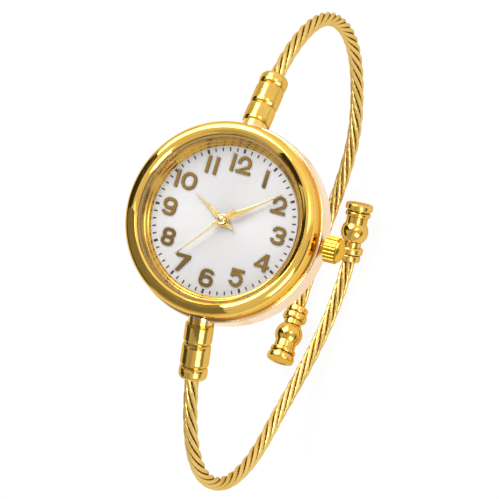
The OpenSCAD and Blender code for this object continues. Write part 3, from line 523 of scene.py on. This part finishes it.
def cable(name, node, overlap, mirror):
    """One arm in place of its CAD node: the strands, then the core."""
    path, length = arm_path(overlap)
    ahead = unit(np.gradient(path, axis=0))
    across = unit(np.array([1.0, 0, 0]) - ahead[:, :1] * ahead)
    up = np.cross(ahead, across)

    corner = round_angles(WIRE_CORNERS * WIRES)
    lobes = 1 - VALLEY_DEPTH * np.abs(np.sin(WIRES / 2 * corner)) ** VALLEY_POWER
    wire = 2 * math.pi * length[:, None] / WIRE_LAY + corner[None, :]
    sections = []
    for strand in range(STRANDS):
        turn = 2 * math.pi * ((strand + 0.5) / STRANDS - length[:, None] / STRAND_LAY)
        out = np.cos(turn) * across + np.sin(turn) * up
        side = np.cos(turn) * up - np.sin(turn) * across
        centre = path + STRAND_RING_R * out
        sections.append(centre[:, None, :] + STRAND_R * lobes[None, :, None] * ring_points(wire, out, side))
    core = round_angles(CORE_CORNERS)[None, :]
    sections.append(path[:, None, :] + CORE_R * ring_points(core, across, up))

    verts, faces = [], []
    for section in sections:
        points, quads = tube(section)
        faces += [[len(verts) + k for k in quad] for quad in quads]
        verts.extend(points)
    points = np.array(verts) * MM
    if mirror:
        points[:, :2] *= -1
    piece = mesh_object(name, points.tolist(), faces, MATERIALS["cable_gold"], smooth=True)
    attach(piece, "case")
    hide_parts(node)


cable("upper_cable_strands", "upper_cable", UPPER_OVERLAP, mirror=False)
cable("lower_cable_strands", "lower_cable", LOWER_OVERLAP, mirror=True)

# Floor: paper that shows shadows, and white for the camera

FLOOR_R = 300.0
FLOOR_SIDES = 128

# The floor's white covers this share of its shadows near the watch, and all of them further out
GLOW_SHARE = 0.92
FADE_MM = (60.0, 280.0)


def floor_paper():
    material = bpy.data.materials.new("floor_paper")
    n = Nodes(material)
    place = n.place_mm()
    grain = n.spread(n.noise(place, scale=1.5, detail=3), *GRAINY)
    paper = n.add(
        "ShaderNodeBsdfPrincipled",
        {
            "Base Color": n.mix(grain, (0.86, 0.86, 0.86), (0.89, 0.89, 0.89)),
            "Roughness": 0.8,
            "Specular IOR Level": 0.2,
        },
    )
    glow = n.add("ShaderNodeEmission", {"Color": (*WHITE, 1), "Strength": 1.0})
    rays = n.add("ShaderNodeLightPath").outputs
    seen = n.math("MAXIMUM", rays["Is Camera Ray"], rays["Is Glossy Ray"])
    seen = n.math("MAXIMUM", seen, rays["Is Transmission Ray"])
    x, y, _ = n.parts(place)
    radius = n.math("SQRT", n.math("ADD", n.math("POWER", x, 2.0), n.math("POWER", y, 2.0)))
    share = n.math("MULTIPLY", seen, n.math("MAXIMUM", n.step(radius, *FADE_MM), GLOW_SHARE))
    n.show(n.mix_shader(share, paper, glow))
    return material


def make_floor():
    """A disc under the lowest piece."""
    low = min(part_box(n)[0].z for n in nodes)
    turns = [2 * math.pi * k / FLOOR_SIDES for k in range(FLOOR_SIDES)]
    verts = [(0, 0, low)]
    verts += [(FLOOR_R * MM * math.cos(a), FLOOR_R * MM * math.sin(a), low) for a in turns]
    faces = [(0, 1 + k, 1 + (k + 1) % FLOOR_SIDES) for k in range(FLOOR_SIDES)]
    mesh_object("floor", verts, faces, floor_paper())


make_floor()

# Lamps: place, aim and size in metres, power in watts


def area_light(name, place, aim, size, power):
    data = bpy.data.lights.new(name, "AREA")
    data.shape = "RECTANGLE"
    data.size, data.size_y = size
    data.energy = power
    light = bpy.data.objects.new(name, data)
    light.location = place
    light.rotation_mode = "QUATERNION"
    light.rotation_quaternion = (Vector(aim) - Vector(place)).to_track_quat("-Z", "Y")
    light.visible_camera = False
    bpy.context.scene.collection.objects.link(light)


area_light("key", (-0.25, 0.32, 0.42), aim=(0, 0, 0), size=(0.42, 0.42), power=3.2)
area_light("fill", (0.40, -0.30, 0.35), aim=(0, 0, -0.01), size=(0.25, 0.35), power=1.6)

# Dark cards over the bezel: level and corners
FLAG_Z = 12.0
FLAGS = (
    (0.03, ((-11.6, 6.4), (-20.8, 12.0), (-24.0, -1.6), (-13.2, -0.8))),
    (0.22, (
        (-9.0, -0.9), (-24.0, -1.7), (-17.0, -17.0), (6.5, -24.0), (4.0, -14.6),
        (3.0, -11.3), (-2.3, -2.7), (-4.0, -5.3), (-6.9, -4.5),
    )),
    (0.03, ((9.4, 7.2), (5.6, 11.4), (-0.2, 5.1), (-0.8, 3.3))),
)


def flag(name, level, corners):
    """A card over the watch that only glossy reflections show."""
    material = bpy.data.materials.new(name)
    n = Nodes(material)
    n.show(n.add("ShaderNodeEmission", {"Color": (level, level, level, 1), "Strength": 1.0}))
    verts = [(x * MM, y * MM, FLAG_Z * MM) for x, y in corners]
    card = mesh_object(name, verts, [tuple(range(len(corners)))], material)
    for kind in ("camera", "diffuse", "transmission", "volume_scatter", "shadow"):
        setattr(card, "visible_" + kind, False)


for index, (level, corners) in enumerate(FLAGS):
    flag(f"flag_{index}", level, corners)

# Cards of the studio: azimuth from +X to +Y, width, lowest and highest elevation in degrees, and level
CARDS = (
    (75, 120, 0, 62, 1.1),
    (245, 50, 10, 60, 0.5),
    (170, 34, -10, 60, 0.03),
    (202, 44, -10, 24, 0.08),
    (352, 34, 0, 14, 0.15),
    (112, 22, 22, 46, 3.5),
    (36, 30, 46, 70, 4.0),
)
CARD_EDGE = 6.0

# Level of the studio's walls at the two elevations, and of the light on matt surfaces
WALL_SPAN = (-30, 90)
WALL_BELOW = 0.62
WALL_ABOVE = 0.80
AMBIENT = 0.72


def make_world():
    """White for the camera. Glossy reflections show a studio's walls and cards instead."""
    world = bpy.data.worlds.new("studio")
    bpy.context.scene.world = world
    n = Nodes(world)
    x, y, z = n.parts(n.add("ShaderNodeTexCoord").outputs["Generated"])
    azimuth = n.math("MULTIPLY", n.math("ARCTAN2", y, x), 180 / math.pi)
    height = n.math("MULTIPLY", n.math("ARCSINE", z), 180 / math.pi)

    def inside_card(middle, span, low, high):
        """1 inside a card, 0 outside, smooth at its edges."""
        off = n.math("WRAP", n.math("SUBTRACT", azimuth, float(middle)), 180.0, -180.0)
        beside = n.step(n.math("ABSOLUTE", off), span / 2 - CARD_EDGE, span / 2)
        above_low = n.step(height, low - CARD_EDGE, low)
        below_high = n.math("SUBTRACT", 1.0, n.step(height, high, high + CARD_EDGE))
        within = n.math("MULTIPLY", n.math("SUBTRACT", 1.0, beside), above_low)
        return n.math("MULTIPLY", within, below_high)

    level = n.spread(height, *WALL_SPAN, WALL_BELOW, WALL_ABOVE)
    for middle, span, low, high, card_level in CARDS:
        mask = inside_card(middle, span, low, high)
        level = n.add("ShaderNodeMix", {0: mask, 2: level, 3: card_level}, data_type="FLOAT").outputs[0]
    studio = n.add("ShaderNodeBackground", {"Color": n.grey(level)})
    ambient = n.add("ShaderNodeBackground", {"Color": (*WHITE, 1), "Strength": AMBIENT})
    white = n.add("ShaderNodeBackground", {"Color": (*WHITE, 1), "Strength": 1.0})
    rays = n.add("ShaderNodeLightPath").outputs
    seen = n.math("MAXIMUM", rays["Is Camera Ray"], rays["Is Transmission Ray"])
    both = n.mix_shader(seen, n.mix_shader(rays["Is Glossy Ray"], ambient, studio), white)
    n.add("ShaderNodeOutputWorld", {"Surface": both.outputs[0]})


make_world()

bpy.context.scene.view_settings.view_transform = "Standard"
